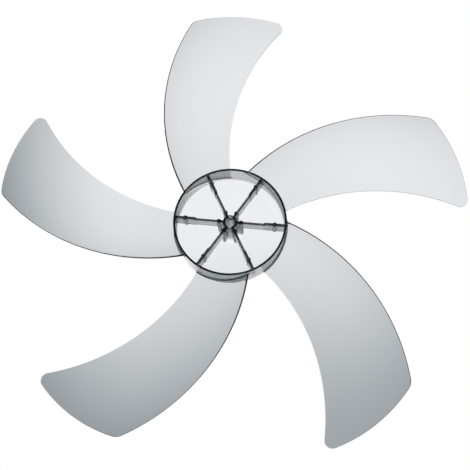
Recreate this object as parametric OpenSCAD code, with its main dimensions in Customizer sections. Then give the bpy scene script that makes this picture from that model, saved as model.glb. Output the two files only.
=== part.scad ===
// Five-blade fan impeller, moulded in one piece from clear smoke-grey plastic.
// The hub is a cup that opens upwards (+Z). Its closed nose is a shallow dome that faces down, with a
// flat round seat in its middle. The origin is the centre of that seat, on the axis of the shaft bore.
// All sizes are in millimetres.

/* [Hub cup] */
// Outside diameter of the hub wall
hub_d = 94; // [88:1:100]
// Height of the open rim above the seat
rim_z = 30; // [28:0.5:34]
// Thickness of the hub wall and of the nose
wall_t = 1.8; // [1.4:0.1:2.4]
// Outside radius of the corner between wall and nose
nose_corner_r = 2.6; // [2.6:0.1:4]
// How far the nose's dome rises from the seat to that corner
dome_rise = 6.9; // [5:0.1:8]
// Diameter of the flat seat in the middle of the dome
seat_d = 20; // [20:0.5:26]

/* [Shaft boss] */
// Diameter of the shaft bore
bore_d = 8; // [6:0.5:8.5]
// Outside diameter of the boss
boss_d = 12; // [11.5:0.5:13]
// Radius of the fillet between boss and nose
boss_fillet_r = 2; // [1:0.1:2.4]
// How far the boss ends below the rim
boss_drop = 2.4; // [1:0.2:4]
// Width of the slot for the shaft's cross pin
slot_w = 3; // [2:0.5:3.5]
// Depth of that slot
slot_h = 6; // [4:0.5:8]

/* [Ribs and posts] */
// Number of ribs from the boss to the wall
rib_count = 6; // [3:1:8]
// Bearing of the first rib
rib_bearing = -11.3; // [-60:0.1:60]
// Height of the ribs' lower edge
rib_foot_z = 17.5; // [15:0.5:20]
// Thickness of the inner length of a rib
rib_t = 1.8; // [1.2:0.1:2.4]
// Thickness of its outer length
rib_outer_t = 2.3; // [1.6:0.1:3]
// Radius at which the outer length begins
rib_step_r = 33; // [28:0.5:36]
// How far the outer length ends below the rim
rib_outer_drop = 0.6; // [0.6:0.1:2]
// Radius of the ring of posts round the boss
inner_post_r = 9.1; // [8.8:0.1:11]
// Radius of the ring of posts near the wall
outer_post_r = 37; // [34:0.5:40]
// Diameter of a post at its top
post_d = 3.7; // [3:0.1:4.5]
// Diameter of a post at its foot
post_foot_d = 2.8; // [2.2:0.1:3]
// How far an outer post reaches below the ribs
post_reach = 1.5; // [0.5:0.5:4]

/* [Blade outline] */
// Number of blades
blade_count = 5; // [3:1:6]
// Diameter of the circle that the blade tips sweep
tip_d = 400; // [380:2:420]
// Bearing of the first blade's root
blade_bearing = 111.5; // [0:0.5:180]
// Angle that a blade's root takes on the hub
root_angle = 55.5; // [45:0.5:56]
// Angle that a blade's tip takes on the tip circle
tip_angle = 24; // [20:0.5:30]
// Angle by which the tip lies behind the root
lag_angle = 30.5; // [20:0.5:34]
// Radius of the convex edge, seen along the axis
convex_r = 168; // [150:1:200]
// Radius of the concave edge, seen along the axis
concave_r = 167; // [150:1:200]
// Radius of the tip edge, seen along the axis
tip_edge_r = 123; // [100:1:150]
// Turn of the tip edge's highest point towards the concave edge
tip_skew = 3; // [0:0.5:5]
// Radius of the corner between tip and convex edge
convex_corner_r = 11; // [8:0.5:16]
// Radius of the corner between tip and concave edge
concave_corner_r = 6; // [5:0.5:12]

/* [Blade pitch] */
// Height of the convex edge at the root
convex_root_z = 25; // [22:0.5:26]
// Height of the convex edge at the tip
convex_tip_z = 29.5; // [24:0.5:32]
// Height of the concave edge at the root
concave_root_z = 12; // [11:0.5:16]
// Height of the concave edge at the tip
concave_tip_z = 19.5; // [14:0.5:24]
// Sag of the blade's middle below its edges, at the root
root_sag = 2.6; // [0:0.2:3]
// The same sag at the tip
tip_sag = 1.4; // [0:0.2:3]
// Thickness of a blade near the root
root_t = 2.4; // [1.8:0.1:2.6]
// Thickness of a blade near the tip
tip_t = 1.7; // [1.4:0.1:2.2]
// Radius of the fillet between blade and hub wall
root_fillet_r = 1.6; // [0.5:0.1:2]

/* [Hidden] */
$fn = 96;

hub_r = hub_d / 2;
tip_r = tip_d / 2;
bore_r = bore_d / 2;
boss_r = boss_d / 2;
seat_r = seat_d / 2;
boss_top_z = rim_z - boss_drop;
rim_edge_r = 0.4;
post_recess = 0.4;
joint_depth = wall_t / 2;

// Steps along each half of a blade's outline, across its rounded edge and between the edges
fillet_steps = 3;
edge_steps = 16;
corner_steps = 4;
tip_steps = 5;
bevel_steps = 3;
column_count = 6;

// General helpers

function mix(a, b, t) = a + (b - a) * t;
function polar(r, angle) = r * [cos(angle), sin(angle)];
function bearing(p) = atan2(p.y, p.x);
function all_but_first(list) = [for (i = [1 : len(list) - 1]) list[i]];

// Points on an arc round centre
function arc_points(centre, r, from, to, steps) =
    [for (i = [0 : steps]) centre + polar(r, mix(from, to, i / steps))];

// Centre of the arc of radius r through p and q, on the right of the way from p to q
function arc_centre(p, q, r) =
    let (half = (q - p) / 2, right = [half.y, -half.x] / norm(half))
    (p + q) / 2 + right * sqrt(r * r - half * half);

// Point where two circles meet, on the left of the way from centre a to centre b
function circles_meet(a, ra, b, rb) =
    let (d = norm(b - a), along = (d * d + ra * ra - rb * rb) / (2 * d), unit = (b - a) / d)
    a + unit * along + [-unit.y, unit.x] * sqrt(ra * ra - along * along);

// Blade outline, seen along the axis, with the root's middle on the X axis

root_r = hub_r - joint_depth;
fillet_end_r = hub_r + root_fillet_r;
peak_bearing = -lag_angle - tip_skew;
convex_c = arc_centre(
    polar(hub_r, root_angle / 2), polar(tip_r, tip_angle / 2 - lag_angle), convex_r);
concave_c = arc_centre(
    polar(hub_r, -root_angle / 2), polar(tip_r, -tip_angle / 2 - lag_angle), concave_r);
tip_c = polar(tip_r - tip_edge_r, peak_bearing);

// Corner circles touch the two edges that they join
convex_corner_c = circles_meet(
    tip_c, tip_edge_r - convex_corner_r, convex_c, convex_r - convex_corner_r);
concave_corner_c = circles_meet(
    tip_c, tip_edge_r - concave_corner_r, concave_c, concave_r + concave_corner_r);

// Bearing, from the axis, of the point at radius r on a long edge
function edge_bearing(centre, edge_r, r) = bearing(circles_meet([0, 0], r, centre, edge_r));

// An outline point is [place, unit vector into the blade]
function edge_point(centre, edge_r, r, inward) =
    let (p = circles_meet([0, 0], r, centre, edge_r)) [p, (p - centre) / edge_r * inward];
function arc_run(centre, r, from, to, steps) =
    [for (i = [0 : steps]) let (dir = polar(1, mix(from, to, i / steps))) [centre + dir * r, -dir]];

// How far the fillet at the root spreads at radius r
function fillet_spread(r) =
    let (f = root_fillet_r, x = min(max(r - hub_r, 0), f)) f - sqrt(f * f - (f - x) * (f - x));

// Radii of the rows from the root to the corner that ends at corner_r
function row_radii(corner_r) = concat(
    [root_r],
    [for (i = [0 : fillet_steps]) mix(hub_r, fillet_end_r, 1 - cos(90 * i / fillet_steps))],
    [for (i = [1 : edge_steps]) mix(fillet_end_r, corner_r, i / edge_steps)]);

// One half of the outline: the long edge, the corner and the tip edge up to its peak
function outline_half(centre, edge_r, inward, corner_c, corner_r, first_bearing) =
    let (corner_end = corner_c + polar(corner_r, first_bearing))
    let (tip_bearing = bearing(corner_c - tip_c))
    concat(
        [for (r = row_radii(norm(corner_end))) edge_point(centre, edge_r, r, inward)],
        all_but_first(arc_run(corner_c, corner_r, first_bearing, tip_bearing, corner_steps)),
        all_but_first(arc_run(tip_c, tip_edge_r, tip_bearing, peak_bearing, tip_steps)));

convex_half = outline_half(convex_c, convex_r, -1,
    convex_corner_c, convex_corner_r, bearing(convex_corner_c - convex_c));
concave_half = outline_half(concave_c, concave_r, 1,
    concave_corner_c, concave_corner_r, bearing(concave_c - concave_corner_c));

// Blade surface

function span_part(r) = max(0, (r - hub_r) / (tip_r - hub_r));
function half_thickness(r) = mix(root_t, tip_t, span_part(r)) / 2 + fillet_spread(r);

// Height of the blade's middle surface at bearing a and radius r
function middle_z(r, a) =
    let (u = span_part(r))
    let (low = edge_bearing(concave_c, concave_r, r), high = edge_bearing(convex_c, convex_r, r))
    let (w = (a - low) / (high - low))
    mix(mix(concave_root_z, concave_tip_z, u), mix(convex_root_z, convex_tip_z, u), w)
        - mix(root_sag, tip_sag, u) * 4 * w * (1 - w);

// Place on the rounded edge after k steps, as [place, rise of the skin]
function bevel_point(point, k) =
    let (r = norm(point[0]), round_r = half_thickness(r), turn = 90 * k / bevel_steps)
    [point[0] + point[1] * (round_r * (1 - cos(turn)) - fillet_spread(r)), round_r * sin(turn)];

// Place between two outline points, along an arc round the axis
function column_point(p, q, t) =
    let (r = mix(norm(p), norm(q), t))
    [polar(r, mix(bearing(p), bearing(q), t)), half_thickness(r)];

// One row from the concave to the convex edge, as a list of [place, rise of the skin]
function row_points(i) =
    let (from = concave_half[i], to = convex_half[i])
    let (start = bevel_point(from, bevel_steps)[0], end = bevel_point(to, bevel_steps)[0])
    concat(
        [for (k = [0 : bevel_steps]) bevel_point(from, k)],
        [for (j = [1 : column_count - 1]) column_point(start, end, j / column_count)],
        [for (k = [bevel_steps : -1 : 0]) bevel_point(to, k)]);

// Skin points: side is 1 for the upper skin and -1 for the lower
function skin_point(item, side) =
    let (p = item[0]) [p.x, p.y, middle_z(norm(p), bearing(p)) + side * item[1]];
function row_loop(i) =
    let (row = row_points(i), last = len(row) - 1)
    concat([for (m = [0 : last]) skin_point(row[m], 1)],
        [for (m = [last - 1 : -1 : 1]) skin_point(row[m], -1)]);

// The last row is the peak of the tip edge, where both halves of the outline meet
function peak_points() =
    let (peak = concave_half[len(concave_half) - 1])
    let (row = [for (k = [0 : bevel_steps]) bevel_point(peak, k)])
    concat([for (item = row) skin_point(item, 1)],
        [for (k = [1 : bevel_steps]) skin_point(row[k], -1)]);

row_count = len(concave_half) - 1;
row_last = 2 * bevel_steps + column_count;
loop_count = 2 * row_last;

// Number of a loop point in the list of points: rows before the peak have all of them,
// and the peak's own points are shared by both edges
function fold(m) = min(m, row_last - m, bevel_steps);
function point_number(i, m) =
    i < row_count ? i * loop_count + m
    : m <= row_last ? i * loop_count + fold(m)
    : let (k = fold(loop_count - m)) i * loop_count + (k == 0 ? 0 : bevel_steps + k);

function is_face(f) = f[0] != f[1] && f[1] != f[2] && f[2] != f[0];

skin_faces = [
    for (i = [0 : row_count - 1], m = [0 : loop_count - 1])
        let (next = (m + 1) % loop_count)
        let (a = point_number(i, m), b = point_number(i, next))
        let (c = point_number(i + 1, next), d = point_number(i + 1, m))
        for (f = [[a, b, c], [a, c, d]]) if (is_face(f)) f
];
root_faces = [
    for (m = [0 : row_last - 1])
        let (low = (loop_count - m) % loop_count, low_next = loop_count - m - 1)
        for (f = [[m, low_next, m + 1], [m, low, low_next]]) if (is_face(f)) f
];

module blade() {
    polyhedron(
        points = concat([for (i = [0 : row_count - 1]) each row_loop(i)], peak_points()),
        faces = concat(skin_faces, root_faces),
        convexity = 4);
}

// Hub: nose, wall and boss are one turned profile, as [radius, height]

wall_inner_r = hub_r - wall_t;
corner_c_r = hub_r - nose_corner_r;
profile_steps = 6;
dome_steps = 8;

// The dome is part of a sphere through the seat's edge, and the corner circle touches it from inside
dome_c_z = (corner_c_r * corner_c_r + dome_rise * dome_rise - seat_r * seat_r) / (2 * dome_rise);
dome_c = [0, dome_c_z];
dome_r = norm([seat_r, dome_c_z]);
corner_reach = dome_r - nose_corner_r;
corner_c = [corner_c_r, dome_c_z - sqrt(corner_reach * corner_reach - corner_c_r * corner_c_r)];
corner_turn = bearing(corner_c - dome_c);

// Angle round the sphere's centre at which a skin of radius r reaches height z
function dome_turn(r, z) = asin((z - dome_c_z) / r);

hub_profile = concat(
    [[bore_r, 0]],
    arc_points(dome_c, dome_r, dome_turn(dome_r, 0), corner_turn, dome_steps),
    all_but_first(arc_points(corner_c, nose_corner_r, corner_turn, 0, profile_steps)),
    arc_points([hub_r - rim_edge_r, rim_z - rim_edge_r], rim_edge_r, 0, 90, profile_steps / 2),
    arc_points([wall_inner_r + rim_edge_r, rim_z - rim_edge_r], rim_edge_r, 90, 180, profile_steps / 2),
    arc_points(corner_c, nose_corner_r - wall_t, 0, corner_turn, profile_steps / 2),
    all_but_first(arc_points(dome_c, dome_r - wall_t, corner_turn,
        dome_turn(dome_r - wall_t, wall_t), dome_steps)),
    arc_points([boss_r + boss_fillet_r, wall_t + boss_fillet_r], boss_fillet_r, -90, -180, profile_steps),
    [[boss_r, boss_top_z], [bore_r, boss_top_z]]);

module pin_slot() {
    slot_reach = boss_r - wall_t / 2;
    rotate([0, 0, rib_bearing + 90])
        translate([-slot_reach, -slot_w / 2, boss_top_z - slot_h])
            cube([2 * slot_reach, slot_w, slot_h + 1]);
}

module hub() {
    difference() {
        rotate_extrude() polygon(hub_profile);
        pin_slot();
    }
}

// A rib stands on edge from the boss to the wall, and its outer length is taller and thicker
module rib() {
    start_r = (bore_r + boss_r) / 2;
    end_r = hub_r - wall_t / 2;
    outer_top_z = rim_z - rib_outer_drop;
    outer_start_r = rib_step_r - (outer_top_z - boss_top_z);
    rotate([90, 0, 0]) {
        linear_extrude(rib_t, center = true)
            polygon([[start_r, rib_foot_z], [end_r, rib_foot_z],
                [end_r, boss_top_z], [start_r, boss_top_z]]);
        linear_extrude(rib_outer_t, center = true)
            polygon([[rib_step_r, rib_foot_z], [end_r, rib_foot_z], [end_r, outer_top_z],
                [rib_step_r, outer_top_z], [outer_start_r, boss_top_z]]);
    }
}

module inner_post() {
    foot_z = wall_t - post_recess;
    translate([inner_post_r, 0, foot_z])
        cylinder(h = boss_top_z + post_recess - foot_z, d1 = post_foot_d, d2 = post_d);
}

module outer_post() {
    foot_z = rib_foot_z - post_reach;
    translate([outer_post_r, 0, foot_z])
        cylinder(h = rim_z - foot_z, d1 = post_foot_d, d2 = post_d);
}

module ribs() {
    for (i = [0 : rib_count - 1])
        rotate([0, 0, rib_bearing + i * 360 / rib_count]) {
            rib();
            inner_post();
            outer_post();
        }
}

module blades() {
    for (i = [0 : blade_count - 1])
        rotate([0, 0, blade_bearing + i * 360 / blade_count]) blade();
}

module fan_blade() {
    color([0.72, 0.75, 0.77, 0.75]) {
        hub();
        ribs();
        blades();
    }
}

fan_blade();
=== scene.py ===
"""Looks of a five-blade fan blade, moulded in one piece from clear smoke-grey plastic.

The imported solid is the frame. In clear plastic every facet and every inner face shows, so its form is
built again here in finer steps, as one closed skin that stands for the solid. Sizes in the classes are in
millimetres, and the finished meshes are in metres.
"""

from __future__ import annotations

import logging
import math
from dataclasses import dataclass, field
from enum import Enum

import bmesh
import bpy
from mathutils import Matrix, Vector

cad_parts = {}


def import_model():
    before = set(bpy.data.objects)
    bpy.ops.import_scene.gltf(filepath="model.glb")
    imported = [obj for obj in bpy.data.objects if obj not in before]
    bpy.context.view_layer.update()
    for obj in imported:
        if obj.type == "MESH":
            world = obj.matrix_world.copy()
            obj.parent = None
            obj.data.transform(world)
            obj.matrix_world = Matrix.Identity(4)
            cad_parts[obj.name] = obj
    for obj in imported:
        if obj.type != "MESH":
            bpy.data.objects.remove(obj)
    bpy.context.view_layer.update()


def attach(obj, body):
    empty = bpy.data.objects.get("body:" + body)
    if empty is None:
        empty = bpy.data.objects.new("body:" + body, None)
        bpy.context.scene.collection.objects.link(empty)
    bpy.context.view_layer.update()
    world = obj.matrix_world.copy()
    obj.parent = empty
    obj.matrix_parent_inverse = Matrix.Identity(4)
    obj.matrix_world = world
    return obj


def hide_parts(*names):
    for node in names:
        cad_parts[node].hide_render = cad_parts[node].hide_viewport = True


LOG = logging.getLogger("fan_blade")
MM = 0.001
NODE = "fan_blade"
BODY = "root"
FULL_TURN = 360.0
MERGE_MM = 0.002
WHITE = (1.0, 1.0, 1.0, 1.0)
# Sockets of a Mix node that mixes colours: both colours, and the result.
MIX_FIRST, MIX_SECOND, MIX_RESULT = 6, 7, 2


class Cut(Enum):
    """How one solid is combined with the next."""

    JOIN = "UNION"
    TAKE_AWAY = "DIFFERENCE"


class LongEdge(Enum):
    """The two long edges of a blade. The value is the way from the edge's centre into the blade."""

    CONVEX = -1.0
    CONCAVE = 1.0


def linear(hex_colour: str) -> tuple[float, float, float, float]:
    """Turns an sRGB hex colour into linear light.

    Args:
        hex_colour: Six hex digits after a hash.

    Returns:
        Red, green, blue and an alpha of 1.
    """
    parts = [int(hex_colour[i : i + 2], 16) / 255 for i in (1, 3, 5)]
    red, green, blue = (c / 12.92 if c <= 0.04045 else ((c + 0.055) / 1.055) ** 2.4 for c in parts)
    return red, green, blue, 1.0


def add_node(
    tree: bpy.types.NodeTree,
    kind: str,
    settings: dict[str, object] | None = None,
    inputs: dict[str | int, object] | None = None,
) -> bpy.types.Node:
    """Adds one shader node.

    Args:
        tree: The node tree that gets it.
        kind: Its class name.
        settings: Properties of the node.
        inputs: A value for a socket, or the output socket that is linked to it.

    Returns:
        The new node.
    """
    node = tree.nodes.new(kind)
    for name, value in (settings or {}).items():
        setattr(node, name, value)
    for name, value in (inputs or {}).items():
        if isinstance(value, bpy.types.NodeSocket):
            tree.links.new(value, node.inputs[name])
        else:
            node.inputs[name].default_value = value
    return node


def mix(low: float, high: float, part: float) -> float:
    """Value at a part of the way from low to high."""
    return low + (high - low) * part


def polar(radius: float, angle: float) -> Vector:
    """Point in the plane at a radius and an angle in degrees."""
    return Vector((math.cos(math.radians(angle)), math.sin(math.radians(angle)))) * radius


def bearing(point: Vector) -> float:
    """Angle of a point round the origin, in degrees."""
    return math.degrees(math.atan2(point.y, point.x))


def arc_centre(start: Vector, end: Vector, radius: float) -> Vector:
    """Finds the centre of the arc through two points, on the right of the way from start to end.

    Args:
        start: The arc's first point.
        end: The arc's last point.
        radius: The arc's radius.

    Returns:
        The centre.
    """
    half = (end - start) / 2
    right = Vector((half.y, -half.x)).normalized()
    return (start + end) / 2 + right * math.sqrt(radius**2 - half.length_squared)


def circles_meet(first: Vector, first_radius: float, second: Vector, second_radius: float) -> Vector:
    """Finds where two circles meet, on the left of the way from the first centre to the second.

    Args:
        first: Centre of the first circle.
        first_radius: Its radius.
        second: Centre of the second circle.
        second_radius: Its radius.

    Returns:
        The point that lies on both.
    """
    way = second - first
    along = (way.length_squared + first_radius**2 - second_radius**2) / (2 * way.length)
    unit = way.normalized()
    left = Vector((-unit.y, unit.x))
    return first + unit * along + left * math.sqrt(first_radius**2 - along**2)


def mesh_object(name: str, shape: bmesh.types.BMesh) -> bpy.types.Object:
    """Turns a finished shape in millimetres into an object in metres at the origin.

    Args:
        name: Name of the object and its mesh.
        shape: The shape, which is freed.

    Returns:
        The new object, linked to the scene.
    """
    bmesh.ops.recalc_face_normals(shape, faces=shape.faces)
    bmesh.ops.scale(shape, vec=Vector((MM, MM, MM)), verts=shape.verts)
    mesh = bpy.data.meshes.new(name)
    shape.to_mesh(mesh)
    shape.free()
    made = bpy.data.objects.new(name, mesh)
    bpy.context.scene.collection.objects.link(made)
    return made


def combine(body: bpy.types.Object, tools: list[bpy.types.Object], cut: Cut) -> None:
    """Joins tools to a body, or cuts them out of it, and removes them.

    Args:
        body: The object that is changed.
        tools: Closed solids.
        cut: Whether they are joined or cut out.
    """
    group = bpy.data.collections.new("tools")
    bpy.context.scene.collection.children.link(group)
    for tool in tools:
        bpy.context.scene.collection.objects.unlink(tool)
        group.objects.link(tool)
    step = body.modifiers.new("combine", "BOOLEAN")
    step.operation = cut.value
    step.solver = "EXACT"
    step.operand_type = "COLLECTION"
    step.collection = group
    graph = bpy.context.evaluated_depsgraph_get()
    result = bpy.data.meshes.new_from_object(body.evaluated_get(graph))
    old = body.data
    body.modifiers.clear()
    body.data = result
    bpy.data.meshes.remove(old)
    for tool in tools:
        bpy.data.meshes.remove(tool.data)
    bpy.data.collections.remove(group)


@dataclass(frozen=True)
class Corner:
    """A corner of the hub's turned profile, with the radius that rounds it."""

    radius: float
    height: float
    rounding: float = 0.0

    def tangent_length(self, before: Corner, after: Corner) -> float:
        """Works out how far from the corner its rounding touches the lines to both neighbours.

        Args:
            before: The corner before it.
            after: The corner after it.

        Returns:
            The distance, which is the same on both sides.
        """
        way_in = Vector((self.radius - before.radius, self.height - before.height))
        way_out = Vector((after.radius - self.radius, after.height - self.height))
        return self.rounding * math.tan(way_in.angle(way_out) / 2)


@dataclass(frozen=True)
class HubCup:
    """The turned part of the moulding: wall, domed nose with its flat seat, and shaft boss."""

    radius: float = 47.0
    rim: float = 30.0
    wall: float = 1.8
    nose_rounding: float = 2.6
    rim_rounding: float = 0.25
    dome_rise: float = 6.9
    seat_radius: float = 10.0
    bore_radius: float = 4.0
    boss_radius: float = 6.0
    boss_fillet: float = 2.0
    boss_drop: float = 2.4
    boss_rounding: float = 0.3
    slot_width: float = 3.0
    slot_depth: float = 6.0
    turn_steps: int = 240
    corner_steps: int = 6
    dome_steps: int = 24
    wall_steps: int = 24

    @property
    def boss_top(self) -> float:
        """Height of the boss's upper end."""
        return self.rim - self.boss_drop

    @property
    def inner_radius(self) -> float:
        """Radius of the wall's inner face."""
        return self.radius - self.wall

    @property
    def dome_centre(self) -> float:
        """Height of the centre of the sphere that the nose is part of."""
        edge = self.radius - self.nose_rounding
        return (edge**2 + self.dome_rise**2 - self.seat_radius**2) / (2 * self.dome_rise)

    @property
    def dome_radius(self) -> float:
        """Radius of that sphere, on the outside of the nose."""
        return math.hypot(self.seat_radius, self.dome_centre)

    def dome_height(self, skin: float, radius: float) -> float:
        """Height at a distance from the axis of the dome's skin whose sphere has a radius of skin."""
        return self.dome_centre - math.sqrt(skin**2 - radius**2)

    def dome_run(self, skin: float, start: float, end: float) -> list[Corner]:
        """Points of the dome from one radius to another, without the first."""
        radii = [mix(start, end, i / self.dome_steps) for i in range(1, self.dome_steps + 1)]
        return [Corner(radius, self.dome_height(skin, radius)) for radius in radii]

    def wall_run(self, radius: float, start: float, end: float) -> list[Corner]:
        """Points on the wall between two heights, which keep its faces short where the blades join it."""
        heights = [mix(start, end, i / self.wall_steps) for i in range(self.wall_steps + 1)]
        return [Corner(radius, height) for height in heights]

    def corners(self) -> list[Corner]:
        """Lists the profile's corners.

        Returns:
            The corners, from the bore's lower end round the outside and back down the boss.
        """
        outer = self.dome_radius
        inner = outer - self.wall
        inside = self.inner_radius
        floor_radius = math.sqrt(inner**2 - (self.dome_centre - self.wall) ** 2)
        # The wall's rows stay clear of the roundings above and below them.
        wall_top = self.rim - 2 * self.rim_rounding
        wall_foot = self.dome_height(outer, self.radius) + 2 * self.nose_rounding
        return [
            Corner(self.bore_radius, 0.0, self.boss_rounding),
            Corner(self.seat_radius, 0.0),
            *self.dome_run(outer, self.seat_radius, self.radius - self.nose_rounding),
            Corner(self.radius, self.dome_height(outer, self.radius), self.nose_rounding),
            *self.wall_run(self.radius, wall_foot, wall_top),
            Corner(self.radius, self.rim, self.rim_rounding),
            Corner(inside, self.rim, self.rim_rounding),
            *self.wall_run(inside, wall_top, wall_foot),
            Corner(inside, self.dome_height(inner, inside), self.nose_rounding - self.wall),
            *self.dome_run(inner, inside, floor_radius),
            Corner(self.boss_radius, self.wall, self.boss_fillet),
            Corner(self.boss_radius, self.boss_top, self.boss_rounding),
            Corner(self.bore_radius, self.boss_top, self.boss_rounding),
        ]

    def build(self) -> bpy.types.Object:
        """Turns the rounded profile once round the bore's axis.

        Returns:
            The closed cup with its boss, before the slot is cut.
        """
        shape = bmesh.new()
        corners = self.corners()
        shape.faces.new([shape.verts.new((c.radius, 0.0, c.height)) for c in corners])
        for before, corner, after in zip(corners[-1:] + corners[:-1], corners, corners[1:] + corners[:1]):
            if corner.rounding:
                place = Vector((corner.radius, 0.0, corner.height))
                nearest = min(shape.verts, key=lambda v: (v.co - place).length_squared)
                bmesh.ops.bevel(
                    shape,
                    geom=[nearest],
                    offset=corner.tangent_length(before, after),
                    affect="VERTICES",
                    segments=self.corner_steps,
                    profile=0.5,
                    material=-1,
                )
        bmesh.ops.delete(shape, geom=list(shape.faces), context="FACES_ONLY")
        bmesh.ops.spin(
            shape,
            geom=list(shape.verts) + list(shape.edges),
            axis=Vector((0, 0, 1)),
            cent=Vector((0, 0, 0)),
            angle=math.radians(FULL_TURN),
            steps=self.turn_steps,
            use_merge=True,
        )
        return mesh_object("hub_cup", shape)

    def pin_slot(self, direction: float) -> bpy.types.Object:
        """Makes the block that is cut from the boss for the shaft's cross pin.

        Args:
            direction: Bearing of the slot's length, in degrees.

        Returns:
            The block, half of it above the boss.
        """
        reach = 2 * self.boss_radius - self.wall
        size = Vector((reach, self.slot_width, 2 * self.slot_depth))
        shape = bmesh.new()
        bmesh.ops.create_cube(shape, size=1.0)
        bmesh.ops.scale(shape, vec=size, verts=shape.verts)
        bmesh.ops.translate(shape, vec=Vector((0, 0, self.boss_top)), verts=shape.verts)
        turn = Matrix.Rotation(math.radians(direction), 3, "Z")
        bmesh.ops.rotate(shape, matrix=turn, verts=shape.verts)
        return mesh_object("pin_slot", shape)


@dataclass(frozen=True)
class RibsAndPosts:
    """The six ribs from boss to wall, and the two rings of posts that stand with them."""

    hub: HubCup
    count: int = 6
    first_bearing: float = -11.3
    foot: float = 17.5
    thickness: float = 2.0
    outer_thickness: float = 2.5
    step_radius: float = 29.6
    outer_drop: float = 0.6
    inner_post_radius: float = 9.1
    outer_post_radius: float = 37.0
    post_radius: float = 1.85
    post_foot_radius: float = 1.6
    post_reach: float = 1.5
    post_rise: float = 0.4
    web_overlap: float = 1.0
    rounding: float = 0.3
    round_steps: int = 3
    post_sides: int = 40

    def bearings(self) -> list[float]:
        """Bearing of each rib."""
        return [self.first_bearing + i * FULL_TURN / self.count for i in range(self.count)]

    def plate(self, outline: list[tuple[float, float]], thickness: float, turn: float) -> bpy.types.Object:
        """Makes an upright plate with rounded edges.

        Args:
            outline: Corners of the plate, as distance from the hub's axis and height.
            thickness: Its thickness.
            turn: Its bearing, in degrees.

        Returns:
            The closed plate.
        """
        shape = bmesh.new()
        face = shape.faces.new([shape.verts.new((x, -thickness / 2, z)) for x, z in outline])
        swept = bmesh.ops.extrude_face_region(shape, geom=[face])
        moved = [v for v in swept["geom"] if isinstance(v, bmesh.types.BMVert)]
        bmesh.ops.translate(shape, vec=Vector((0, thickness, 0)), verts=moved)
        long_edges = [e for e in shape.edges if abs(e.verts[0].co.y - e.verts[1].co.y) < MERGE_MM]
        bmesh.ops.bevel(
            shape,
            geom=long_edges,
            offset=self.rounding,
            affect="EDGES",
            segments=self.round_steps,
            profile=0.5,
            material=-1,
        )
        bmesh.ops.rotate(shape, matrix=Matrix.Rotation(math.radians(turn), 3, "Z"), verts=shape.verts)
        return mesh_object("rib", shape)

    def post(self, radius: float, foot: float, top: float, turn: float) -> bpy.types.Object:
        """Makes a round post, a little thinner at its foot.

        Args:
            radius: Distance of the post from the hub's axis.
            foot: Height of its lower end.
            top: Height of its upper end.
            turn: Its bearing, in degrees.

        Returns:
            The closed post.
        """
        shape = bmesh.new()
        bmesh.ops.create_cone(
            shape,
            cap_ends=True,
            segments=self.post_sides,
            radius1=self.post_foot_radius,
            radius2=self.post_radius,
            depth=top - foot,
            matrix=Matrix.Translation((0, 0, (foot + top) / 2)),
        )
        ends = [e for e in shape.edges if abs(e.verts[0].co.z - e.verts[1].co.z) < MERGE_MM]
        bmesh.ops.bevel(
            shape,
            geom=ends,
            offset=self.rounding,
            affect="EDGES",
            segments=self.round_steps,
            profile=0.5,
            material=-1,
        )
        place = polar(radius, turn)
        bmesh.ops.translate(shape, vec=Vector((place.x, place.y, 0)), verts=shape.verts)
        return mesh_object("post", shape)

    def build(self) -> list[bpy.types.Object]:
        """Makes every rib with its web and its two posts.

        Returns:
            Closed solids, each of which reaches into its neighbours.
        """
        hub = self.hub
        start = (hub.bore_radius + hub.boss_radius) / 2
        end = hub.radius - hub.wall / 2
        top = hub.boss_top
        outer_top = hub.rim - self.outer_drop
        low = hub.wall - self.post_rise
        web_end = self.inner_post_radius
        web_top = self.foot + self.web_overlap
        # The step up to the outer length is a slope of 45 degrees.
        slope_start = self.step_radius - (outer_top - top)
        inner = [(start, self.foot), (end, self.foot), (end, top), (start, top)]
        web = [(start, low), (web_end, low), (web_end, web_top), (start, web_top)]
        outer = [
            (slope_start, self.foot),
            (end, self.foot),
            (end, outer_top),
            (self.step_radius, outer_top),
            (slope_start, top),
        ]
        made = []
        for turn in self.bearings():
            made.append(self.plate(inner, self.thickness, turn))
            made.append(self.plate(web, self.thickness, turn))
            made.append(self.plate(outer, self.outer_thickness, turn))
            made.append(self.post(self.inner_post_radius, low, top + self.post_rise, turn))
            made.append(self.post(self.outer_post_radius, self.foot - self.post_reach, hub.rim, turn))
        return made


@dataclass(frozen=True)
class OutlinePoint:
    """A point on a blade's outline, in the plane, with the unit vector into the blade."""

    place: Vector
    inward: Vector


@dataclass(frozen=True)
class BladeEdge:
    """One long edge of a blade: an arc, with the corner circle that joins it to the tip edge."""

    side: LongEdge
    centre: Vector
    radius: float
    corner_centre: Vector
    corner_radius: float

    def at(self, radius: float) -> OutlinePoint:
        """Point of the arc at a distance from the hub's axis."""
        place = circles_meet(Vector((0.0, 0.0)), radius, self.centre, self.radius)
        return OutlinePoint(place, (place - self.centre) / self.radius * self.side.value)

    def corner_start(self) -> float:
        """Angle on the corner circle at which the arc ends."""
        return bearing((self.centre - self.corner_centre) * self.side.value)


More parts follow.
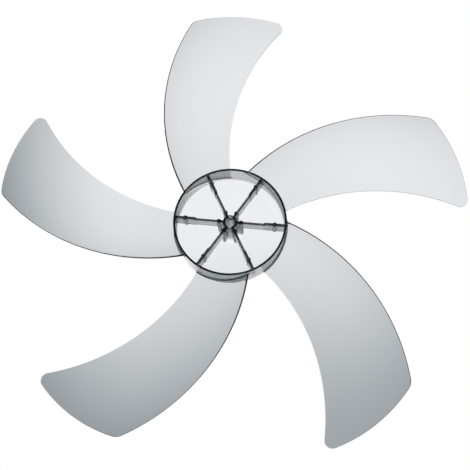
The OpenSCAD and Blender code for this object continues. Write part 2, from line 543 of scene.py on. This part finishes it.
@dataclass(frozen=True)
class Blade:
    """A swept blade, pitched and sagging, with rounded edges: three arcs and two corner circles in plan."""

    hub: HubCup
    count: int = 5
    first_bearing: float = 111.5
    tip_radius: float = 200.0
    root_angle: float = 55.5
    tip_angle: float = 24.0
    lag_angle: float = 30.5
    convex_radius: float = 168.0
    concave_radius: float = 167.0
    tip_edge_radius: float = 123.0
    tip_skew: float = 3.0
    convex_corner: float = 11.0
    concave_corner: float = 6.0
    convex_root: float = 25.0
    convex_tip: float = 29.5
    concave_root: float = 12.0
    concave_tip: float = 19.5
    root_sag: float = 2.6
    tip_sag: float = 1.4
    root_thickness: float = 2.4
    tip_thickness: float = 1.7
    lead_extra: float = 0.7
    lead_power: float = 3.0
    fillet: float = 1.6
    fillet_steps: int = 6
    edge_steps: int = 44
    corner_steps: int = 9
    tip_steps: int = 10
    round_steps: int = 5
    columns: int = 28
    edges: dict[LongEdge, BladeEdge] = field(init=False)

    def __post_init__(self) -> None:
        """Works out the two long edges once."""
        object.__setattr__(self, "edges", {side: self.long_edge(side) for side in LongEdge})

    @property
    def tip_centre(self) -> Vector:
        """Centre of the tip edge's arc."""
        return polar(self.tip_radius - self.tip_edge_radius, self.peak_bearing)

    @property
    def peak_bearing(self) -> float:
        """Bearing of the point of the tip that is furthest out."""
        return -self.lag_angle - self.tip_skew

    def long_edge(self, side: LongEdge) -> BladeEdge:
        """Works out the arc and the corner circle of one long edge.

        Args:
            side: Which of the two edges.

        Returns:
            The edge.
        """
        convex = side is LongEdge.CONVEX
        way = -side.value / 2
        radius = self.convex_radius if convex else self.concave_radius
        corner = self.convex_corner if convex else self.concave_corner
        root = polar(self.hub.radius, self.root_angle * way)
        tip = polar(self.tip_radius, self.tip_angle * way - self.lag_angle)
        centre = arc_centre(root, tip, radius)
        reach = radius + corner * side.value
        corner_centre = circles_meet(self.tip_centre, self.tip_edge_radius - corner, centre, reach)
        return BladeEdge(side, centre, radius, corner_centre, corner)

    def fillet_spread(self, radius: float) -> float:
        """How far the fillet at the root widens the blade at a distance from the axis."""
        run = min(max(radius - self.hub.radius, 0.0), self.fillet)
        return self.fillet - math.sqrt(self.fillet**2 - (self.fillet - run) ** 2)

    def span_part(self, radius: float) -> float:
        """Part of the way from the hub to the tip."""
        return max(0.0, (radius - self.hub.radius) / (self.tip_radius - self.hub.radius))

    def across(self, place: Vector) -> float:
        """Works out how far over the blade a point lies.

        Args:
            place: The point in the plane.

        Returns:
            Part of the way from the concave edge to the convex edge.
        """
        low = bearing(self.edges[LongEdge.CONCAVE].at(place.length).place)
        high = bearing(self.edges[LongEdge.CONVEX].at(place.length).place)
        return (bearing(place) - low) / (high - low)

    def half_thickness(self, place: Vector) -> float:
        """Works out half the blade's thickness, which grows towards the convex edge, as that edge leads.

        Args:
            place: The point in the plane.

        Returns:
            The height of the skin over the blade's middle surface.
        """
        radius = place.length
        plain = mix(self.root_thickness, self.tip_thickness, self.span_part(radius))
        lead = self.lead_extra * max(0.0, self.across(place)) ** self.lead_power
        return (plain + lead) / 2 + self.fillet_spread(radius)

    def middle_height(self, place: Vector) -> float:
        """Works out how high the blade's middle surface lies: pitched, and sagging as a parabola.

        Args:
            place: The point in the plane.

        Returns:
            The height.
        """
        part = self.span_part(place.length)
        across = self.across(place)
        concave = mix(self.concave_root, self.concave_tip, part)
        convex = mix(self.convex_root, self.convex_tip, part)
        sag = mix(self.root_sag, self.tip_sag, part)
        return mix(concave, convex, across) - sag * 4 * across * (1 - across)

    def row_radii(self, corner_end: float) -> list[float]:
        """Lists where rows cross the long edges, closer together in the fillet at the wall.

        Args:
            corner_end: Distance from the axis at which the long edge ends.

        Returns:
            Distances from the axis, from inside the wall outwards.
        """
        root = self.hub.radius - self.hub.wall / 2
        foot = self.hub.radius
        fillet_end = foot + self.fillet
        turns = [math.pi / 2 * i / self.fillet_steps for i in range(self.fillet_steps + 1)]
        fillet_rows = [mix(foot, fillet_end, 1 - math.cos(turn)) for turn in turns]
        steps = range(1, self.edge_steps + 1)
        return [root, *fillet_rows, *(mix(fillet_end, corner_end, i / self.edge_steps) for i in steps)]

    def outline_half(self, side: LongEdge) -> list[OutlinePoint]:
        """Follows one half of the outline: the long edge, its corner and the tip edge up to its peak.

        Args:
            side: The long edge that it starts on.

        Returns:
            Points from the root to the peak.
        """
        edge = self.edges[side]
        first = edge.corner_start()
        last = bearing(edge.corner_centre - self.tip_centre)
        corner_end = edge.corner_centre + polar(edge.corner_radius, first)
        points = [edge.at(radius) for radius in self.row_radii(corner_end.length)]
        for i in range(1, self.corner_steps + 1):
            way = polar(1.0, mix(first, last, i / self.corner_steps))
            points.append(OutlinePoint(edge.corner_centre + way * edge.corner_radius, -way))
        for i in range(1, self.tip_steps + 1):
            way = polar(1.0, mix(last, self.peak_bearing, i / self.tip_steps))
            points.append(OutlinePoint(self.tip_centre + way * self.tip_edge_radius, -way))
        return points

    def rounded(self, point: OutlinePoint, step: int) -> tuple[Vector, float]:
        """Follows the rounding of the blade's edge inwards.

        Args:
            point: The point on the outline.
            step: How many steps of the quarter turn are done.

        Returns:
            The place in the plane, and how far the skin stands off the middle surface there.
        """
        half = self.half_thickness(point.place)
        turn = math.pi / 2 * step / self.round_steps
        inset = half * (1 - math.cos(turn)) - self.fillet_spread(point.place.length)
        return point.place + point.inward * inset, half * math.sin(turn)

    def section(self, concave: OutlinePoint, convex: OutlinePoint) -> list[Vector]:
        """Makes a closed section through the blade.

        Args:
            concave: The section's point on the concave edge.
            convex: Its point on the convex edge.

        Returns:
            Points from the concave edge over the top and back underneath.
        """
        start = self.rounded(concave, self.round_steps)[0]
        end = self.rounded(convex, self.round_steps)[0]
        row = [self.rounded(concave, k) for k in range(self.round_steps + 1)]
        for j in range(1, self.columns):
            part = j / self.columns
            reach = mix(start.length, end.length, part)
            place = polar(reach, mix(bearing(start), bearing(end), part))
            row.append((place, self.half_thickness(place)))
        row += [self.rounded(convex, k) for k in range(self.round_steps, -1, -1)]
        upper = [Vector((*p, self.middle_height(p) + rise)) for p, rise in row]
        lower = [Vector((*p, self.middle_height(p) - rise)) for p, rise in row]
        return upper + lower[-2:0:-1]

    def flattened(self, section: list[Vector]) -> list[Vector]:
        """Presses a section onto its middle line, which closes the blade inside the hub wall.

        Args:
            section: The closed section.

        Returns:
            As many points, the lower ones on the upper ones.
        """
        last = len(section) // 2
        pairs = [(p, section[-i] if 0 < i < last else p) for i, p in enumerate(section[: last + 1])]
        middle = [(p + q) / 2 for p, q in pairs]
        return middle + middle[-2:0:-1]

    def sections(self) -> list[list[Vector]]:
        """Makes all sections of the blade.

        Returns:
            The sections, from the root to the peak of the tip.
        """
        halves = zip(self.outline_half(LongEdge.CONCAVE), self.outline_half(LongEdge.CONVEX))
        rows = [self.section(concave, convex) for concave, convex in halves]
        return [self.flattened(rows[0]), *rows]

    def build(self, index: int) -> bpy.types.Object:
        """Lofts one blade: a grid takes the place of every section, and its seams are welded.

        Args:
            index: Number of the blade, which sets its bearing.

        Returns:
            The closed blade, whose root lies inside the hub wall.
        """
        rows = self.sections()
        around = len(rows[0])
        shape = bmesh.new()
        bmesh.ops.create_grid(shape, x_segments=around, y_segments=len(rows) - 1, size=1.0)
        shape.verts.ensure_lookup_table()
        for i, row in enumerate(rows):
            for m in range(around + 1):
                shape.verts[i * (around + 1) + m].co = row[m % around]
        bmesh.ops.remove_doubles(shape, verts=shape.verts, dist=MERGE_MM)
        turn = self.first_bearing + index * FULL_TURN / self.count
        bmesh.ops.rotate(shape, matrix=Matrix.Rotation(math.radians(turn), 3, "Z"), verts=shape.verts)
        return mesh_object("blade", shape)


@dataclass(frozen=True)
class SmokePlastic:
    """Clear styrene-acrylonitrile, injection moulded in a polished mould.

    It is as glossy and clear as glass, and a little smoke dye darkens it with the length of the way
    through it: flat walls look pale grey, and edges seen end on look almost black. Blades, disc and the
    outside of the hub are polished. The slots that form the ribs are only ground, so the ribs show things
    a little blurred. Boss, posts and the wall's inside are as the lathe left their moulds, so they are dull
    and show no clear picture.
    """

    dye: str = "#839599"
    dye_density: float = 300.0
    surface: str = "#f7f9fa"
    ior: float = 1.57
    polished: float = 0.03
    ground: float = 0.18
    turned: float = 0.35
    margin_mm: float = 0.3
    disc_band_mm: float = 2.0
    # Moulded plastic is never quite flat: the skin swells by hundredths of a millimetre over centimetres,
    # which bends the lights in it a little.
    ripple_mm: float = 40.0
    ripple_depth_mm: float = 0.04
    ripple_detail: float = 1.0

    def bands(self, ribs: RibsAndPosts) -> list[tuple[float, float]]:
        """Lists the finishes in the cup, from its axis outwards.

        Args:
            ribs: The ribs and posts, whose places set the bands.

        Returns:
            Distances from the axis at which the finish changes, with the roughness from there on.
        """
        hub = ribs.hub
        reach = ribs.post_radius + self.margin_mm
        return [
            (0.0, self.turned),
            (ribs.inner_post_radius + reach, self.ground),
            (ribs.outer_post_radius - reach, self.turned),
            (ribs.outer_post_radius + reach, self.ground),
            (hub.inner_radius - self.margin_mm, self.turned),
            (hub.radius - hub.wall / 2, self.polished),
        ]

    def roughness(
        self, tree: bpy.types.NodeTree, place: bpy.types.NodeSocket, ribs: RibsAndPosts
    ) -> bpy.types.NodeSocket:
        """Adds the skin's roughness: in bands above the hub's disc, and polished elsewhere.

        Args:
            tree: The node tree that gets it.
            place: Object coordinates.
            ribs: The ribs and posts, with the hub that they stand in.

        Returns:
            The socket that holds it.
        """
        hub = ribs.hub
        outwards = {0: place, 1: (1 / (hub.radius * MM), 1 / (hub.radius * MM), 0.0)}
        flat = add_node(tree, "ShaderNodeVectorMath", {"operation": "MULTIPLY"}, outwards)
        reach = add_node(tree, "ShaderNodeVectorMath", {"operation": "LENGTH"}, {0: flat.outputs["Vector"]})
        cup = add_node(tree, "ShaderNodeValToRGB", inputs={"Fac": reach.outputs["Value"]})
        ramp = cup.color_ramp
        ramp.interpolation = "CONSTANT"
        ramp.elements.remove(ramp.elements[-1])
        for radius, rough in self.bands(ribs):
            stop = ramp.elements.new(radius / hub.radius) if radius else ramp.elements[0]
            stop.color = (rough, rough, rough, 1.0)
        centre = (0.0, 0.0, hub.dome_centre * MM)
        drop = add_node(tree, "ShaderNodeVectorMath", {"operation": "DISTANCE"}, {0: place, 1: centre})
        disc = hub.dome_radius - hub.wall
        upwards = add_node(
            tree,
            "ShaderNodeMapRange",
            inputs={
                "Value": drop.outputs["Value"],
                "From Min": (disc - self.disc_band_mm) * MM,
                "From Max": (disc - self.disc_band_mm / 2) * MM,
                "To Min": cup.outputs["Color"],
                "To Max": self.polished,
            },
        )
        return upwards.outputs["Result"]

    def material(self, ribs: RibsAndPosts) -> bpy.types.Material:
        """Builds the shader: clear surface, dyed volume and the faint ripple of moulded plastic.

        Args:
            ribs: The ribs and posts, whose places set the bands of the finish.

        Returns:
            The new material.
        """
        made = bpy.data.materials.new("smoke_plastic_moulded")
        made.use_nodes = True
        tree = made.node_tree
        tree.nodes.clear()
        place = add_node(tree, "ShaderNodeTexCoord")
        ripple = add_node(
            tree,
            "ShaderNodeTexNoise",
            inputs={
                "Vector": place.outputs["Object"],
                "Scale": 1 / (self.ripple_mm * MM),
                "Detail": self.ripple_detail,
            },
        )
        bump = add_node(
            tree,
            "ShaderNodeBump",
            inputs={"Height": ripple.outputs["Fac"], "Strength": self.ripple_depth_mm, "Distance": MM},
        )
        skin = add_node(
            tree,
            "ShaderNodeBsdfPrincipled",
            inputs={
                "Base Color": linear(self.surface),
                "Roughness": self.roughness(tree, place.outputs["Object"], ribs),
                "IOR": self.ior,
                "Transmission Weight": 1.0,
                "Normal": bump.outputs["Normal"],
            },
        )
        dye = add_node(
            tree,
            "ShaderNodeVolumeAbsorption",
            inputs={"Color": linear(self.dye), "Density": self.dye_density},
        )
        add_node(
            tree,
            "ShaderNodeOutputMaterial",
            inputs={"Surface": skin.outputs["BSDF"], "Volume": dye.outputs["Volume"]},
        )
        return made


@dataclass(frozen=True)
class Moulding:
    """The whole fan blade as one closed skin."""

    hub: HubCup
    ribs: RibsAndPosts
    blade: Blade
    finish: SmokePlastic
    smooth_angle: float = 32.0

    def build(self) -> bpy.types.Object:
        """Fuses hub, ribs, posts and blades, smooths the skin and dresses it.

        Returns:
            The finished fan blade.
        """
        skin = self.hub.build()
        slot_bearing = self.ribs.first_bearing + FULL_TURN / 4
        combine(skin, [self.hub.pin_slot(slot_bearing)], Cut.TAKE_AWAY)
        combine(skin, self.ribs.build(), Cut.JOIN)
        combine(skin, [self.blade.build(i) for i in range(self.blade.count)], Cut.JOIN)
        skin.name = "fan_blade_moulding"
        skin.data.name = skin.name
        for face in skin.data.polygons:
            face.use_smooth = True
        skin.data.set_sharp_from_angle(angle=math.radians(self.smooth_angle))
        shading = skin.modifiers.new("even_shading", "WEIGHTED_NORMAL")
        shading.mode = "FACE_AREA"
        shading.keep_sharp = True
        skin.data.materials.clear()
        skin.data.materials.append(self.finish.material(self.ribs))
        return skin


@dataclass(frozen=True)
class Studio:
    """White paper that glows with painted light and shade round the fan blade, dim surroundings and a
    bright ceiling.
    """

    floor_mm: float = 6000.0
    floor_colour: str = "#e9e9e9"
    # Painted light and shade on the paper: tints of its lit and dim parts, its strength, and the spans
    # where it fades darker far out, towards the front and towards the left side.
    lit_colour: str = "#fff9fa"
    lit_strength: float = 1.53
    dim_colour: str = "#f3faff"
    dim_part: float = 0.12
    around_mm: tuple[float, float] = (105.0, 520.0)
    front_mm: tuple[float, float] = (-184.0, 10.0)
    front_part: float = 0.48
    side_mm: tuple[float, float] = (-292.0, -78.0)
    side_part: float = 0.11
    ceiling: str = "#5c5e60"
    horizon: str = "#2a2c2e"
    horizon_height: float = 0.15
    ceiling_height: float = 0.85

    def build(self) -> None:
        """Makes the floor and the world."""
        self.floor()
        self.world()

    def fade(
        self,
        tree: bpy.types.NodeTree,
        value: bpy.types.NodeSocket,
        span_mm: tuple[float, float],
        parts: tuple[float, float],
    ) -> bpy.types.NodeSocket:
        """Adds a smooth step of brightness along a measure.

        Args:
            tree: The node tree that gets it.
            value: The measure, in metres.
            span_mm: Its values at which the step starts and ends.
            parts: Brightness before and after the step.

        Returns:
            The socket that holds the brightness.
        """
        start, end = (edge * MM for edge in span_mm)
        step = add_node(
            tree,
            "ShaderNodeMapRange",
            {"interpolation_type": "SMOOTHSTEP"},
            {"Value": value, "From Min": start, "From Max": end, "To Min": parts[0], "To Max": parts[1]},
        )
        return step.outputs["Result"]

    def product(
        self, tree: bpy.types.NodeTree, first: bpy.types.NodeSocket, second: bpy.types.NodeSocket | float
    ) -> bpy.types.NodeSocket:
        """Product of two values."""
        node = add_node(tree, "ShaderNodeMath", {"operation": "MULTIPLY"}, {0: first, 1: second})
        return node.outputs["Value"]

    def painted_paper_light(self, tree: bpy.types.NodeTree) -> bpy.types.NodeSocket:
        """Adds the painted fall of light and shade over the paper, as the clear plastic shows it: darker
        far out, towards the front and towards the left side.

        Args:
            tree: The node tree that gets it.

        Returns:
            The socket that holds the part of the full light at each point.
        """
        place = add_node(tree, "ShaderNodeTexCoord")
        spot = place.outputs["Object"]
        split = add_node(tree, "ShaderNodeSeparateXYZ", inputs={0: spot})
        reach = add_node(tree, "ShaderNodeVectorMath", {"operation": "LENGTH"}, {0: spot})
        front = self.fade(tree, split.outputs["Y"], self.front_mm, (self.front_part, 1.0))
        side = self.fade(tree, split.outputs["X"], self.side_mm, (self.side_part, 1.0))
        around = self.fade(tree, reach.outputs["Value"], self.around_mm, (1.0, self.dim_part))
        return self.product(tree, self.product(tree, front, side), around)

    def floor(self) -> None:
        """Floor that the camera sees as white, and that the clear plastic shows with its painted fall of
        light and shade.
        """
        shape = bmesh.new()
        bmesh.ops.create_grid(shape, x_segments=1, y_segments=1, size=self.floor_mm / 2 * MM)
        mesh = bpy.data.meshes.new("floor")
        shape.to_mesh(mesh)
        shape.free()
        floor = bpy.data.objects.new("floor", mesh)
        bpy.context.scene.collection.objects.link(floor)
        material = bpy.data.materials.new("floor_paper")
        material.use_nodes = True
        tree = material.node_tree
        tree.nodes.clear()
        rays = add_node(tree, "ShaderNodeLightPath")
        paper = add_node(tree, "ShaderNodeBsdfDiffuse", inputs={"Color": linear(self.floor_colour)})
        seen = add_node(tree, "ShaderNodeEmission", inputs={"Color": WHITE, "Strength": 1.0})
        light = self.painted_paper_light(tree)
        tint = add_node(
            tree,
            "ShaderNodeMix",
            {"data_type": "RGBA"},
            {"Factor": light, MIX_FIRST: linear(self.dim_colour), MIX_SECOND: linear(self.lit_colour)},
        )
        # Painted light and shade: a glow whose colour and strength follow the painted fall of light, for
        # glossy and transmission rays only.
        lit = add_node(
            tree,
            "ShaderNodeEmission",
            inputs={
                "Color": tint.outputs[MIX_RESULT],
                "Strength": self.product(tree, light, self.lit_strength),
            },
        )
        surface = paper.outputs["BSDF"]
        for kind, shown in (("Is Glossy Ray", lit), ("Is Transmission Ray", lit), ("Is Camera Ray", seen)):
            mixed = add_node(
                tree,
                "ShaderNodeMixShader",
                inputs={0: rays.outputs[kind], 1: surface, 2: shown.outputs["Emission"]},
            )
            surface = mixed.outputs[0]
        add_node(tree, "ShaderNodeOutputMaterial", inputs={"Surface": surface})
        mesh.materials.append(material)

    def world(self) -> None:
        """Dim walls under a bright ceiling, all white to the camera."""
        world = bpy.data.worlds.new("studio")
        bpy.context.scene.world = world
        world.use_nodes = True
        tree = world.node_tree
        tree.nodes.clear()
        rays = add_node(tree, "ShaderNodeLightPath")
        way = add_node(tree, "ShaderNodeTexCoord")
        split = add_node(tree, "ShaderNodeSeparateXYZ", inputs={0: way.outputs["Generated"]})
        height = add_node(
            tree,
            "ShaderNodeMapRange",
            {"interpolation_type": "SMOOTHSTEP"},
            {"Value": split.outputs["Z"], "From Min": self.horizon_height, "From Max": self.ceiling_height},
        )
        colour = add_node(
            tree,
            "ShaderNodeMix",
            {"data_type": "RGBA"},
            {
                "Factor": height.outputs["Result"],
                MIX_FIRST: linear(self.horizon),
                MIX_SECOND: linear(self.ceiling),
            },
        )
        walls = colour.outputs[MIX_RESULT]
        room = add_node(tree, "ShaderNodeBackground", inputs={"Color": walls, "Strength": 1.0})
        seen = add_node(tree, "ShaderNodeBackground", inputs={"Color": WHITE, "Strength": 1.0})
        mixed = add_node(
            tree,
            "ShaderNodeMixShader",
            inputs={0: rays.outputs["Is Camera Ray"], 1: room.outputs[0], 2: seen.outputs[0]},
        )
        add_node(tree, "ShaderNodeOutputWorld", inputs={"Surface": mixed.outputs[0]})


@dataclass(frozen=True)
class PhotoCamera:
    """Camera that stands where the photograph was taken from: high above the front edge."""

    place: tuple[float, float, float] = (3.0, -258.6, 708.2)
    tilt: float = 19.92
    roll: float = 5.98
    lens: float = 67.44
    sensor: float = 36.0

    def build(self) -> None:
        """Adds the camera and makes it the scene's own."""
        data = bpy.data.cameras.new("photo_camera")
        data.sensor_width = self.sensor
        data.lens = self.lens
        camera = bpy.data.objects.new("photo_camera", data)
        tip = Matrix.Rotation(math.radians(self.tilt), 4, "X")
        turn = Matrix.Rotation(math.radians(-self.roll), 4, "Z")
        camera.matrix_world = Matrix.Translation(Vector(self.place) * MM) @ tip @ turn
        bpy.context.scene.collection.objects.link(camera)
        bpy.context.scene.camera = camera


def main() -> None:
    """Loads the frame, builds the fan blade, its studio and camera, and logs the moulding's face count."""
    logging.basicConfig(level=logging.INFO, format="%(message)s")
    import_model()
    bpy.context.scene.view_settings.view_transform = "Standard"
    PhotoCamera().build()
    Studio().build()
    hub = HubCup()
    moulding = Moulding(hub, RibsAndPosts(hub), Blade(hub), SmokePlastic()).build()
    LOG.info("%s: %d faces", moulding.name, len(moulding.data.polygons))
    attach(moulding, BODY)
    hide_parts(NODE)


if __name__ == "__main__":
    main()
